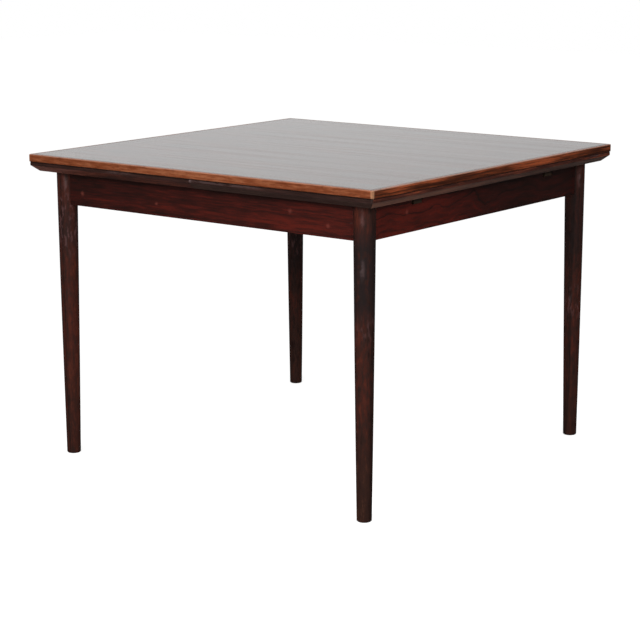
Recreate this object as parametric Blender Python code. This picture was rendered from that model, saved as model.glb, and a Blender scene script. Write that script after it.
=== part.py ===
"""Draw-leaf dining table: a loose top over two leaves that slide out on runners.

The origin is on the floor under the middle of the table. X runs the way the leaves
draw, Y across the table, Z up. Lengths are in metres.
"""

import math

import bmesh
import bpy
from mathutils import Vector

# Overall size, at the top's outer edges
TABLE_LENGTH = 1.005
TABLE_WIDTH = 0.986
TABLE_HEIGHT = 0.730

# Top slab
TOP_THICKNESS = 0.018
TOP_LIPPING_WIDTH = 0.012
TOP_UPPER_ARRIS = 0.0022
TOP_LOWER_ARRIS = 0.0018
CORNER_RADIUS = 0.006

# Draw leaves, set back a little from the top's edges and bevelled underneath
LEAF_THICKNESS = 0.022
LEAF_SIDE_REVEAL = 0.0020
LEAF_END_REVEAL = 0.0008
LEAF_LIPPING_WIDTH = 0.026
LEAF_INNER_LIPPING_WIDTH = 0.016
LEAF_UPPER_ARRIS = 0.0018
LEAF_BEVEL_INSET = 0.017
LEAF_BEVEL_HEIGHT = 0.0140
BEVEL_CORNER_RADIUS = 0.001

# Tongue on each panel's edge, glued into the lipping's groove
TONGUE_THICKNESS = 0.006
TONGUE_LENGTH = 0.005

# Legs, which lean out a little towards the foot, along X and along Y
LEG_END_INSET = 0.0655
LEG_SIDE_INSET = 0.0613
LEG_LEAN = 0.0029
LEG_TOP_DIAMETER = 0.0486
LEG_FOOT_DIAMETER = 0.033
LEG_SWELL = 0.0013
LEG_FOOT_ROUND = 0.002
LEG_TRIM = 0.0005

# Aprons, whose outer faces stand outside the legs' centre lines
APRON_HEIGHT = 0.0780
APRON_THICKNESS = 0.022
APRON_FACE_OUT = 0.012
APRON_TENON_THICKNESS = 0.010
APRON_TENON_SHOULDER = 0.012
APRON_TENON_TO_CENTRE = 0.0075

# Runners, two screwed under each leaf, those of the two leaves side by side
RUNNER_WIDTH = 0.030
RUNNER_DEPTH = 0.019
RUNNER_TO_SIDE_APRON = 0.134
RUNNER_SPACING = 0.0345
RUNNER_END_CHAMFER = 0.004
RUNNER_TAIL_TO_APRON = 0.008
RUNNER_END_SETBACK = 0.0010
APRON_NOTCH_SIDE_ROOM = 0.010

# Lip in each guide rail that runs in a groove along the runner's side
LIP_DEPTH = 0.006
LIP_HEIGHT = 0.007
GROOVE_PAST_RAIL = 0.004

# Stop pegs, hanging from the runners' tails
STOP_DIAMETER = 0.010
STOP_LENGTH = 0.020
STOP_DROP = 0.008
STOP_PASS_GAP = 0.001

# Guide rails and the bearer between the side aprons
RAIL_CENTRE_X = 0.150
RAIL_THICKNESS = 0.022
RAIL_HEIGHT = 0.056
RAIL_TENON_THICKNESS = 0.010
RAIL_TENON_LENGTH = 0.010
RAIL_TENON_SHOULDER = 0.008
BEARER_WIDTH = 0.070
BEARER_THICKNESS = 0.020
BEARER_TENON_THICKNESS = 0.009

# Pegs under the top
PEG_DIAMETER = 0.014
PEG_TO_RUNNER = 0.076
PEG_SEAT_DEPTH = 0.010
PEG_BELOW_BEARER = 0.014
PEG_POINT = 0.004
PEG_NOTCH_CLEARANCE = 0.0015

# Corner blocks
BLOCK_REACH = 0.080
BLOCK_HEIGHT = 0.050
BLOCK_TOP_DROP = 0.012
BLOCK_LEG_CLEARANCE = 0.002

# Wood screws through the runners
SCREW_HEAD_DIAMETER = 0.0084
SCREW_HEAD_HEIGHT = 0.0028
SCREW_SHANK_DIAMETER = 0.0042
SCREW_LENGTH = 0.030
SCREW_TIP_LENGTH = 0.005
SCREW_SLOT_WIDTH = 0.0012
SCREW_SLOT_DEPTH = 0.0010
SCREW_COUNTERBORE_DEPTH = 0.004
SCREW_FROM_RUNNER_END = 0.045
SCREW_FROM_LEAF_EDGE = 0.060
SCREW_HOLE_TIP_ROOM = 0.001
SCREWS_PER_RUNNER = 3

# Fits
SEAT_GAP = 0.0003
SLIDE_GAP = 0.0005
HOLE_GAP = 0.0003
STOP_GAP = 0.0008
DRAW_PAST_EDGE = 0.001
OVERRUN = 0.010

# Faceting
LEG_SIDES = 32
LEG_STEPS = 10
PEG_SIDES = 20
SCREW_SIDES = 12
CORNER_STEPS = 4
ARRIS_STEPS = 3
SMOOTH_ANGLE = math.radians(32)

# Heights, from the top down
TOP_UNDERSIDE = TABLE_HEIGHT - TOP_THICKNESS
LEAF_TOP = TOP_UNDERSIDE - SEAT_GAP
LEAF_UNDERSIDE = LEAF_TOP - LEAF_THICKNESS
FRAME_TOP = LEAF_UNDERSIDE - SEAT_GAP
APRON_BOTTOM = FRAME_TOP - APRON_HEIGHT
RUNNER_BOTTOM = FRAME_TOP - RUNNER_DEPTH
RUNNER_SEAT = RUNNER_BOTTOM - SEAT_GAP
STOP_PASS = RUNNER_BOTTOM - STOP_DROP - STOP_PASS_GAP
LIP_MIDDLE = FRAME_TOP - RUNNER_DEPTH / 2
RAIL_BOTTOM = FRAME_TOP - RAIL_HEIGHT
BEARER_BOTTOM = STOP_PASS - BEARER_THICKNESS

# Places in plan
LEG_X = TABLE_LENGTH / 2 - LEG_END_INSET
LEG_Y = TABLE_WIDTH / 2 - LEG_SIDE_INSET
END_APRON_OUTER_X = LEG_X + APRON_FACE_OUT
END_APRON_INNER_X = END_APRON_OUTER_X - APRON_THICKNESS
SIDE_APRON_OUTER_Y = LEG_Y + APRON_FACE_OUT
SIDE_APRON_INNER_Y = SIDE_APRON_OUTER_Y - APRON_THICKNESS
LEAF_END_X = TABLE_LENGTH / 2 - LEAF_END_REVEAL
LEAF_SIDE_Y = TABLE_WIDTH / 2 - LEAF_SIDE_REVEAL
LEAF_INNER_X = SEAT_GAP
RAIL_INNER_X = RAIL_CENTRE_X - RAIL_THICKNESS / 2
RAIL_OUTER_X = RAIL_CENTRE_X + RAIL_THICKNESS / 2
RUNNER_END_X = END_APRON_OUTER_X - RUNNER_END_SETBACK
RUNNER_TAIL_X = -(END_APRON_INNER_X - RUNNER_TAIL_TO_APRON)
RUNNER_OUTER_Y = SIDE_APRON_INNER_Y - RUNNER_TO_SIDE_APRON
RUNNER_INNER_Y = RUNNER_OUTER_Y - RUNNER_SPACING
PEG_Y = RUNNER_INNER_Y - PEG_TO_RUNNER

# How far a leaf draws: until its inner edge is clear of the top's edge
LEAF_TRAVEL = TABLE_LENGTH / 2 - LEAF_INNER_X + DRAW_PAST_EDGE
STOP_X = RAIL_INNER_X - STOP_GAP - LEAF_TRAVEL - STOP_DIAMETER / 2


# Shapes


def clear_scene():
    for item in list(bpy.data.objects):
        bpy.data.objects.remove(item, do_unlink=True)


def finish_mesh(name, bm, smooth=False):
    bmesh.ops.recalc_face_normals(bm, faces=bm.faces)
    mesh = bpy.data.meshes.new(name)
    bm.to_mesh(mesh)
    bm.free()
    if smooth:
        mesh.shade_smooth()
        mesh.set_sharp_from_angle(angle=SMOOTH_ANGLE)
    return mesh


def loft(name, rings, smooth=False):
    """Skin rings of equally many points and cap both ends."""
    bm = bmesh.new()
    loops = [[bm.verts.new(point) for point in ring] for ring in rings]
    for lower, upper in zip(loops, loops[1:]):
        for i in range(len(lower)):
            j = (i + 1) % len(lower)
            bm.faces.new((lower[i], lower[j], upper[j], upper[i]))
    bm.faces.new(list(reversed(loops[0])))
    bm.faces.new(loops[-1])
    return finish_mesh(name, bm, smooth)


def box(name, low, high, grow=0.0):
    """A box between two corners, grown all round for a fit."""
    low = Vector(low) - Vector((grow, grow, grow))
    high = Vector(high) + Vector((grow, grow, grow))
    return loft(name, [rectangle(low, high, low.z), rectangle(low, high, high.z)])


def rectangle(low, high, height):
    return [
        (low[0], low[1], height),
        (high[0], low[1], height),
        (high[0], high[1], height),
        (low[0], high[1], height),
    ]


def rounded_rectangle(half_length, half_width, radius, height):
    """The outline of a board with round corners."""
    points = []
    corners = ((1, 1, 0), (-1, 1, 1), (-1, -1, 2), (1, -1, 3))
    for x_sign, y_sign, quarter in corners:
        for step in range(CORNER_STEPS + 1):
            angle = math.pi / 2 * (quarter + step / CORNER_STEPS)
            x = x_sign * (half_length - radius) + radius * math.cos(angle)
            y = y_sign * (half_width - radius) + radius * math.sin(angle)
            points.append((x, y, height))
    return points


def turned(name, profile, sides, smooth=True):
    """Turn a profile of (radius, height) pairs, bottom to top, about Z."""
    bm = bmesh.new()
    start = bm.verts.new((0, 0, profile[0][1]))
    finish = bm.verts.new((0, 0, profile[-1][1]))
    chain = [start] + [bm.verts.new((radius, 0, height)) for radius, height in profile] + [finish]
    edges = [bm.edges.new(pair) for pair in zip(chain, chain[1:])]
    bmesh.ops.spin(
        bm,
        geom=chain + edges,
        cent=(0, 0, 0),
        axis=(0, 0, 1),
        angle=2 * math.pi,
        steps=sides,
        use_merge=True,
        use_duplicate=False,
    )
    on_axis = [vert for vert in bm.verts if math.hypot(vert.co.x, vert.co.y) < SEAT_GAP / 2]
    bmesh.ops.remove_doubles(bm, verts=on_axis, dist=SEAT_GAP / 2)
    return finish_mesh(name, bm, smooth)


def rod(name, radius, low, high, sides=PEG_SIDES):
    return turned(name, [(radius, low), (radius, high)], sides)


def plate(name, outline, low, high):
    """Extrude a plan outline of (x, y) points between two heights."""
    rings = [[(x, y, height) for x, y in outline] for height in (low, high)]
    return loft(name, rings)


def side_plate(name, outline, low, high):
    """Extrude an outline of (x, z) points between two places along Y."""
    rings = [[(x, y, z) for x, z in outline] for y in (low, high)]
    return loft(name, rings)


def end_plate(name, outline, low, high):
    """Extrude an outline of (y, z) points between two places along X."""
    rings = [[(x, y, z) for y, z in outline] for x in (low, high)]
    return loft(name, rings)


# Objects


def material(name, colour, roughness, metallic=0.0):
    slot = bpy.data.materials.new(name)
    slot.use_nodes = True
    shader = slot.node_tree.nodes["Principled BSDF"]
    shader.inputs["Base Color"].default_value = (*colour, 1)
    shader.inputs["Roughness"].default_value = roughness
    shader.inputs["Metallic"].default_value = metallic
    slot.diffuse_color = (*colour, 1)
    return slot


FINISHES = {
    "veneer": ((0.16, 0.055, 0.030), 0.25, 0.0),
    "rosewood": ((0.20, 0.065, 0.032), 0.35, 0.0),
    "dark_rosewood": ((0.055, 0.020, 0.017), 0.38, 0.0),
    "beech": ((0.52, 0.33, 0.18), 0.55, 0.0),
    "steel": ((0.45, 0.43, 0.40), 0.35, 1.0),
}


def place(name, mesh, finish, parent=None, location=(0, 0, 0), turn=0.0):
    """Put a piece in the scene with a material of its own."""
    piece = bpy.data.objects.new(name, mesh)
    bpy.context.scene.collection.objects.link(piece)
    piece.parent = parent
    piece.location = location
    piece.rotation_euler = (0, 0, turn)
    if finish:
        colour, roughness, metallic = FINISHES[finish]
        mesh.materials.append(material(name + "_" + finish, colour, roughness, metallic))
    return piece


def guide(name, mesh, parent=None, location=(0, 0, 0)):
    """A cutter or a joining shape, which is not a piece of the table."""
    shape = place(name, mesh, None, parent, location)
    shape.display_type = "WIRE"
    shape.hide_render = True
    shape.hide_set(True)
    return shape


def combine(piece, shape, operation):
    modifier = piece.modifiers.new(shape.name, "BOOLEAN")
    modifier.operation = operation
    modifier.solver = "EXACT"
    modifier.object = shape


def cut(piece, *shapes):
    for shape in shapes:
        combine(piece, shape, "DIFFERENCE")


def join(piece, shape):
    combine(piece, shape, "UNION")


def keep(piece, shape):
    combine(piece, shape, "INTERSECT")


def body_empty(name, turn=0.0):
    """An empty at the origin that a moving body's pieces hang from."""
    empty = bpy.data.objects.new(name, None)
    bpy.context.scene.collection.objects.link(empty)
    empty.rotation_euler = (0, 0, turn)
    return empty


# Boards with solid lippings


def arris(radius, rising):
    """A rounded edge as (inset, height) pairs, upwards, from the edge's own corner."""
    pairs = []
    for step in range(ARRIS_STEPS + 1):
        angle = math.pi / 2 * step / ARRIS_STEPS
        inset = radius * (1 - math.cos(angle))
        height = radius * (math.sin(angle) - 1)
        pairs.append((inset, height))
    if rising:
        return pairs
    return [(inset, -height) for inset, height in reversed(pairs)]


def board(name, half_length, half_width, edge, small_radius):
    """A board whose edge follows (inset, height) pairs, bottom to top."""
    rings = []
    for inset, height in edge:
        radius = max(CORNER_RADIUS - inset, small_radius)
        rings.append(
            rounded_rectangle(half_length - inset, half_width - inset, radius, height)
        )
    return loft(name, rings, smooth=True)


def top_edge():
    lower = [(inset, TOP_UNDERSIDE + height) for inset, height in arris(TOP_LOWER_ARRIS, False)]
    upper = [(inset, TABLE_HEIGHT + height) for inset, height in arris(TOP_UPPER_ARRIS, True)]
    return lower + upper


def leaf_edge():
    bevel = [
        (LEAF_BEVEL_INSET, LEAF_UNDERSIDE),
        (0.0, LEAF_UNDERSIDE + LEAF_BEVEL_HEIGHT),
    ]
    upper = [(inset, LEAF_TOP + height) for inset, height in arris(LEAF_UPPER_ARRIS, True)]
    return bevel + upper


def lipping_outline(along, across, width, inner=None):
    """Plan of a lipping on the -across side, mitred at one end or both.

    along and across are half sizes of the board, and inner is the place where a
    lipping that has only one mitre is cut square.
    """
    mitre = SEAT_GAP / math.sqrt(2)
    outer_end = along + OVERRUN - mitre
    inner_end = along - width - mitre
    outline = [
        (outer_end, -across - OVERRUN),
        (inner_end, -across + width),
    ]
    if inner is None:
        outline += [(-inner_end, -across + width), (-outer_end, -across - OVERRUN)]
    else:
        outline += [(inner, -across + width), (inner, -across - OVERRUN)]
    return outline


def tongued_panel(name, low, high, bottom, top):
    """A panel with a tongue along its four edges, at half its thickness."""
    middle = (bottom + top) / 2
    lower = middle - TONGUE_THICKNESS / 2
    upper = middle + TONGUE_THICKNESS / 2
    wide_low = (low[0] - TONGUE_LENGTH, low[1] - TONGUE_LENGTH)
    wide_high = (high[0] + TONGUE_LENGTH, high[1] + TONGUE_LENGTH)
    rings = [
        rectangle(low, high, bottom),
        rectangle(low, high, lower),
        rectangle(wide_low, wide_high, lower),
        rectangle(wide_low, wide_high, upper),
        rectangle(low, high, upper),
        rectangle(low, high, top),
    ]
    return loft(name, rings)


def groove(name, low, high, bottom, top, parent):
    """The cutter that makes the lippings' grooves for a panel's tongue."""
    middle = (bottom + top) / 2
    reach = Vector((TONGUE_LENGTH, TONGUE_LENGTH, TONGUE_THICKNESS / 2))
    corner = Vector((low[0], low[1], middle)) - reach
    far_corner = Vector((high[0], high[1], middle)) + reach
    return guide(name, box(name, corner, far_corner, SEAT_GAP), parent)


# Top


def build_top():
    """The loose top: a veneered field, four mitred lippings and two pegs."""
    parent = body_empty("top_lift_axis")
    half_length = TABLE_LENGTH / 2
    half_width = TABLE_WIDTH / 2
    inset = TOP_LIPPING_WIDTH + SEAT_GAP
    high = (half_length - inset, half_width - inset)
    low = (-high[0], -high[1])

    panel = tongued_panel("top_field", low, high, TOP_UNDERSIDE, TABLE_HEIGHT)
    field = place("top_field", panel, "veneer", parent)
    slot = groove("top_groove", low, high, TOP_UNDERSIDE, TABLE_HEIGHT, parent)

    sides = (
        ("front", half_length, half_width, 0),
        ("right", half_width, half_length, 1),
        ("back", half_length, half_width, 2),
        ("left", half_width, half_length, 3),
    )
    for side, along, across, quarter in sides:
        name = "top_lipping_" + side
        mesh = board(name, half_length, half_width, top_edge(), BEVEL_CORNER_RADIUS)
        lipping = place(name, mesh, "rosewood", parent)
        outline = lipping_outline(along, across, TOP_LIPPING_WIDTH)
        region = plate(name, outline, TOP_UNDERSIDE - OVERRUN, TABLE_HEIGHT + OVERRUN)
        shape = guide(name + "_region", region, parent)
        shape.rotation_euler = (0, 0, math.pi / 2 * quarter)
        keep(lipping, shape)
        cut(lipping, slot)

    for side, y in (("front", -PEG_Y), ("back", PEG_Y)):
        build_top_peg("top_peg_" + side, y, field, parent)


def peg_profile():
    radius = PEG_DIAMETER / 2
    bottom = BEARER_BOTTOM - PEG_BELOW_BEARER
    top = TOP_UNDERSIDE + PEG_SEAT_DEPTH
    return [
        (radius - PEG_POINT / 2, bottom),
        (radius, bottom + PEG_POINT),
        (radius, top),
    ]


def build_top_peg(name, y, field, parent):
    place(name, turned(name, peg_profile(), PEG_SIDES), "beech", parent, (0, y, 0))
    seat = rod(
        name,
        PEG_DIAMETER / 2 + HOLE_GAP,
        TOP_UNDERSIDE - OVERRUN,
        TOP_UNDERSIDE + PEG_SEAT_DEPTH + SEAT_GAP,
    )
    cut(field, guide(name + "_seat", seat, parent, (0, y, 0)))


# Leaves


def leaf_panel_corners():
    """Plan corners of a leaf's panel, between its lippings."""
    low = (
        LEAF_INNER_X + LEAF_INNER_LIPPING_WIDTH + SEAT_GAP,
        -(LEAF_SIDE_Y - LEAF_LIPPING_WIDTH - SEAT_GAP),
    )
    high = (
        LEAF_END_X - LEAF_LIPPING_WIDTH - SEAT_GAP,
        LEAF_SIDE_Y - LEAF_LIPPING_WIDTH - SEAT_GAP,
    )
    return low, high


def side_word(y_sign, turn):
    """Front or back, for a piece on one side of a leaf that may be turned round."""
    faces_back = (y_sign > 0) != (turn > 0)
    return "back" if faces_back else "front"


def build_leaf(leaf, turn):
    """A draw leaf with its lippings, runners, stops and screws.

    It is drawn here as the right leaf, and its empty turns it round for the left.
    """
    parent = body_empty(leaf + "_draw_axis", turn)
    low, high = leaf_panel_corners()
    mesh = tongued_panel(leaf + "_panel", low, high, LEAF_UNDERSIDE, LEAF_TOP)
    panel = place(leaf + "_panel", mesh, "dark_rosewood", parent)
    slot = groove(leaf + "_groove", low, high, LEAF_UNDERSIDE, LEAF_TOP, parent)

    build_leaf_end_lipping(leaf, slot, parent)
    for y_sign in (-1, 1):
        build_leaf_side_lipping(leaf, y_sign, side_word(y_sign, turn), slot, parent)
    build_leaf_inner_lipping(leaf, slot, parent)

    for y in (RUNNER_OUTER_Y, -RUNNER_INNER_Y):
        word = side_word(y, turn)
        runner = build_runner(leaf + "_runner_" + word, y, parent)
        build_stop(leaf + "_stop_" + word, y, runner, parent)
        for number, x in enumerate(screw_places(), start=1):
            name = "{}_screw_{}_{}".format(leaf, word, number)
            build_screw(name, x, y, runner, panel, parent)


def leaf_lipping(name, outline, quarter, slot, parent):
    mesh = board(name, LEAF_END_X, LEAF_SIDE_Y, leaf_edge(), BEVEL_CORNER_RADIUS)
    lipping = place(name, mesh, "dark_rosewood", parent)
    region = plate(name, outline, LEAF_UNDERSIDE - OVERRUN, LEAF_TOP + OVERRUN)
    shape = guide(name + "_region", region, parent)
    shape.rotation_euler = (0, 0, math.pi / 2 * quarter)
    keep(lipping, shape)
    cut(lipping, slot)
    return lipping


def build_leaf_end_lipping(leaf, slot, parent):
    outline = lipping_outline(LEAF_SIDE_Y, LEAF_END_X, LEAF_LIPPING_WIDTH)
    leaf_lipping(leaf + "_lipping_end", outline, 1, slot, parent)


def build_leaf_side_lipping(leaf, y_sign, word, slot, parent):
    outline = lipping_outline(LEAF_END_X, LEAF_SIDE_Y, LEAF_LIPPING_WIDTH, LEAF_INNER_X)
    if y_sign > 0:
        outline = [(x, -y) for x, y in reversed(outline)]
    leaf_lipping(leaf + "_lipping_" + word, outline, 0, slot, parent)


def build_leaf_inner_lipping(leaf, slot, parent):
    """The plain lipping where the leaves meet, notched round the top's pegs."""
    name = leaf + "_lipping_inner"
    half_width = LEAF_SIDE_Y - LEAF_LIPPING_WIDTH - SEAT_GAP
    low = (LEAF_INNER_X, -half_width, LEAF_UNDERSIDE)
    high = (LEAF_INNER_X + LEAF_INNER_LIPPING_WIDTH, half_width, LEAF_TOP)
    lipping = place(name, box(name, low, high), "dark_rosewood", parent)
    cut(lipping, slot)
    radius = PEG_DIAMETER / 2 + PEG_NOTCH_CLEARANCE
    for word, y in (("a", -PEG_Y), ("b", PEG_Y)):
        notch = rod(name, radius, LEAF_UNDERSIDE - OVERRUN, LEAF_TOP + OVERRUN)
        cut(lipping, guide(name + "_notch_" + word, notch, parent, (0, y, 0)))


# Runners, stops and screws


def runner_outline():
    """Side view of a runner, chamfered at its tail."""
    chamfer = RUNNER_END_CHAMFER
    return [
        (RUNNER_TAIL_X + chamfer, RUNNER_BOTTOM),
        (RUNNER_END_X, RUNNER_BOTTOM),
        (RUNNER_END_X, FRAME_TOP),
        (RUNNER_TAIL_X + chamfer, FRAME_TOP),
        (RUNNER_TAIL_X, FRAME_TOP - chamfer),
        (RUNNER_TAIL_X, RUNNER_BOTTOM + chamfer),
    ]


def build_runner(name, y, parent):
    """A runner with a groove along its +Y side, from the tail past the guide rail."""
    half = RUNNER_WIDTH / 2
    mesh = side_plate(name, runner_outline(), -half, half)
    runner = place(name, mesh, "beech", parent, (0, y, 0))
    half_height = LIP_HEIGHT / 2 + SLIDE_GAP
    low = (RUNNER_TAIL_X - OVERRUN, half - LIP_DEPTH, LIP_MIDDLE - half_height)
    high = (RAIL_OUTER_X + GROOVE_PAST_RAIL, half + OVERRUN, LIP_MIDDLE + half_height)
    cut(runner, guide(name + "_groove", box(name, low, high), parent, (0, y, 0)))
    return runner


def build_stop(name, y, runner, parent):
    """A peg under the tail that meets the guide rail when the leaf is fully drawn."""
    radius = STOP_DIAMETER / 2
    bottom = RUNNER_BOTTOM - STOP_DROP
    top = bottom + STOP_LENGTH
    place(name, rod(name, radius, bottom, top), "beech", parent, (STOP_X, y, 0))
    seat = rod(name, radius + HOLE_GAP, RUNNER_BOTTOM - OVERRUN, top + SEAT_GAP)
    cut(runner, guide(name + "_seat", seat, parent, (STOP_X, y, 0)))


def screw_places():
    """Evenly spaced along the part of a runner that lies under its leaf."""
    first = LEAF_INNER_X + SCREW_FROM_LEAF_EDGE
    last = RUNNER_END_X - SCREW_FROM_RUNNER_END
    steps = SCREWS_PER_RUNNER - 1
    return [first + (last - first) * step / steps for step in range(SCREWS_PER_RUNNER)]


def screw_profile():
    """A countersunk wood screw with its head down and its tip up."""
    shank = SCREW_SHANK_DIAMETER / 2
    head = SCREW_HEAD_DIAMETER / 2
    return [
        (head, 0.0),
        (shank, SCREW_HEAD_HEIGHT),
        (shank, SCREW_LENGTH - SCREW_TIP_LENGTH),
        (shank / 4, SCREW_LENGTH),
    ]


def build_screw(name, x, y, runner, panel, parent):
    base = RUNNER_BOTTOM + SCREW_COUNTERBORE_DEPTH
    screw = place(name, turned(name, screw_profile(), SCREW_SIDES), "steel", parent, (x, y, base))
    half_slot = Vector((SCREW_HEAD_DIAMETER, SCREW_SLOT_WIDTH / 2, SCREW_SLOT_DEPTH))
    slot = guide(name + "_slot", box(name, -half_slot, half_slot), parent, (x, y, base))
    cut(screw, slot)

    head = SCREW_HEAD_DIAMETER / 2 + HOLE_GAP
    shank = SCREW_SHANK_DIAMETER / 2 + HOLE_GAP
    hole_top = SCREW_LENGTH + SCREW_HOLE_TIP_ROOM
    profile = [
        (head, -SCREW_COUNTERBORE_DEPTH - OVERRUN),
        (head, HOLE_GAP),
        (shank, SCREW_HEAD_HEIGHT + HOLE_GAP),
        (shank, hole_top),
    ]
    hole = guide(name + "_hole", turned(name, profile, SCREW_SIDES), parent, (x, y, base))
    cut(runner, hole)
    cut(panel, hole)


# Frame


def leg_radius(height, grow=0.0):
    """Radius of a leg: a straight taper with a slight swell at half height."""
    share = height / FRAME_TOP
    straight = LEG_FOOT_DIAMETER + (LEG_TOP_DIAMETER - LEG_FOOT_DIAMETER) * share
    swell = 4 * LEG_SWELL * share * (1 - share)
    return (straight + swell) / 2 + grow


def leg_profile():
    """A leg's outline, from its chamfered foot to its top, both a little too long."""
    rise = FRAME_TOP + LEG_TRIM - LEG_FOOT_ROUND
    heights = [LEG_FOOT_ROUND + rise * step / LEG_STEPS for step in range(LEG_STEPS + 1)]
    foot = [(leg_radius(0) - LEG_FOOT_ROUND - LEG_TRIM, -LEG_TRIM)]
    return foot + [(leg_radius(height), height) for height in heights]


def leaning(shape, x_sign, y_sign):
    """Stand a turned shape on a leg's foot, leaning in towards the leg's top."""
    lean = Vector((-x_sign * LEG_LEAN, -y_sign * LEG_LEAN, FRAME_TOP))
    shape.location = (x_sign * (LEG_X + LEG_LEAN), y_sign * (LEG_Y + LEG_LEAN), 0)
    shape.rotation_euler = Vector((0, 0, 1)).rotation_difference(lean).to_euler()


def cope_profile():
    """The legs' upper part with a fit all round, to cut the aprons' shoulders."""
    low = APRON_BOTTOM - OVERRUN
    high = FRAME_TOP + OVERRUN
    return [(leg_radius(height, SEAT_GAP), height) for height in (low, high)]


def build_legs():
    """Four turned legs, cut level with the floor and with the frame's top."""
    corner = Vector((TABLE_LENGTH / 2, TABLE_WIDTH / 2, 0))
    level = guide("leg_level", box("leg_level", -corner, corner + Vector((0, 0, FRAME_TOP))))
    legs = {}
    for x_sign, x_word in ((-1, "left"), (1, "right")):
        for y_sign, y_word in ((-1, "front"), (1, "back")):
            name = "leg_{}_{}".format(y_word, x_word)
            mesh = turned(name, leg_profile(), LEG_SIDES)
            leg = place(name, mesh, "dark_rosewood")
            leaning(leg, x_sign, y_sign)
            keep(leg, level)
            legs[x_sign, y_sign] = leg
    return legs


def leg_copes():
    """One cutter round each leg."""
    copes = {}
    for x_sign in (-1, 1):
        for y_sign in (-1, 1):
            name = "leg_cope_{}_{}".format(x_sign, y_sign)
            mesh = turned(name, cope_profile(), LEG_SIDES)
            cope = guide(name, mesh)
            leaning(cope, x_sign, y_sign)
            copes[x_sign, y_sign] = cope
    return copes


def tenon_heights():
    return APRON_BOTTOM + APRON_TENON_SHOULDER, FRAME_TOP - APRON_TENON_SHOULDER


def tenon_across(leg_line, y_sign):
    """Where an apron's tenon lies across the apron, at half its thickness."""
    middle = y_sign * (leg_line + APRON_FACE_OUT - APRON_THICKNESS / 2)
    return middle - APRON_TENON_THICKNESS / 2, middle + APRON_TENON_THICKNESS / 2


def build_side_aprons(legs, copes):
    """The aprons along X, tenoned into the legs."""
    aprons = {}
    bottom, top = tenon_heights()
    reach = LEG_X - APRON_TENON_TO_CENTRE
    for y_sign, word in ((-1, "front"), (1, "back")):
        name = "side_apron_" + word
        faces = sorted((y_sign * SIDE_APRON_INNER_Y, y_sign * SIDE_APRON_OUTER_Y))
        mesh = box(name, (-LEG_X, faces[0], APRON_BOTTOM), (LEG_X, faces[1], FRAME_TOP))
        apron = place(name, mesh, "dark_rosewood")
        cut(apron, copes[-1, y_sign], copes[1, y_sign])
        near, far = tenon_across(LEG_Y, y_sign)
        corners = ((-reach, near, bottom), (reach, far, top))
        join(apron, guide(name + "_tenon", box(name, *corners)))
        mortise = guide(name + "_mortise", box(name, *corners, SEAT_GAP))
        for x_sign in (-1, 1):
            cut(legs[x_sign, y_sign], mortise)
        aprons[y_sign] = apron
    return aprons


def build_end_aprons(legs, copes):
    """The aprons along Y, tenoned into the legs and notched for the runners."""
    bottom, top = tenon_heights()
    reach = LEG_Y - APRON_TENON_TO_CENTRE
    for x_sign, word in ((-1, "left"), (1, "right")):
        name = "end_apron_" + word
        faces = sorted((x_sign * END_APRON_INNER_X, x_sign * END_APRON_OUTER_X))
        mesh = box(name, (faces[0], -LEG_Y, APRON_BOTTOM), (faces[1], LEG_Y, FRAME_TOP))
        apron = place(name, mesh, "dark_rosewood")
        cut(apron, copes[x_sign, -1], copes[x_sign, 1])
        near, far = tenon_across(LEG_X, x_sign)
        corners = ((near, -reach, bottom), (far, reach, top))
        join(apron, guide(name + "_tenon", box(name, *corners)))
        mortise = guide(name + "_mortise", box(name, *corners, SEAT_GAP))
        for y_sign in (-1, 1):
            cut(legs[x_sign, y_sign], mortise)
        for number, y in enumerate(own_runner_places(x_sign), start=1):
            notch = apron_notch(name, faces, x_sign, y)
            cut(apron, guide("{}_notch_{}".format(name, number), notch))


def own_runner_places(x_sign):
    """Where the runners of one leaf lie across the table."""
    return (x_sign * RUNNER_OUTER_Y, -x_sign * RUNNER_INNER_Y)


def apron_notch(name, faces, x_sign, y):
    """A notch for a runner's end, with room to spare on one side of it."""
    half = RUNNER_WIDTH / 2 + SLIDE_GAP
    sides = sorted((y + x_sign * half, y - x_sign * (half + APRON_NOTCH_SIDE_ROOM)))
    low = (faces[0] - OVERRUN, sides[0], RUNNER_SEAT)
    high = (faces[1] + OVERRUN, sides[1], FRAME_TOP + OVERRUN)
    return box(name, low, high)


def rail_notch_outline():
    """Section of a guide rail's notch, with the guided runner's middle at zero.

    The guided runner's groove takes the lip on the +Y wall. The other leaf's runner
    lies beside it, where the notch is deep enough for the stop under its tail.
    """
    wall = RUNNER_WIDTH / 2 + SLIDE_GAP
    far_wall = -(RUNNER_SPACING + wall)
    step = -(RUNNER_SPACING / 2)
    lip_edge = wall - LIP_DEPTH
    return [
        (wall, RUNNER_SEAT),
        (wall, LIP_MIDDLE - LIP_HEIGHT / 2),
        (lip_edge, LIP_MIDDLE - LIP_HEIGHT / 2),
        (lip_edge, LIP_MIDDLE + LIP_HEIGHT / 2),
        (wall, LIP_MIDDLE + LIP_HEIGHT / 2),
        (wall, FRAME_TOP + OVERRUN),
        (far_wall, FRAME_TOP + OVERRUN),
        (far_wall, STOP_PASS),
        (step, STOP_PASS),
        (step, RUNNER_SEAT),
    ]


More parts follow.
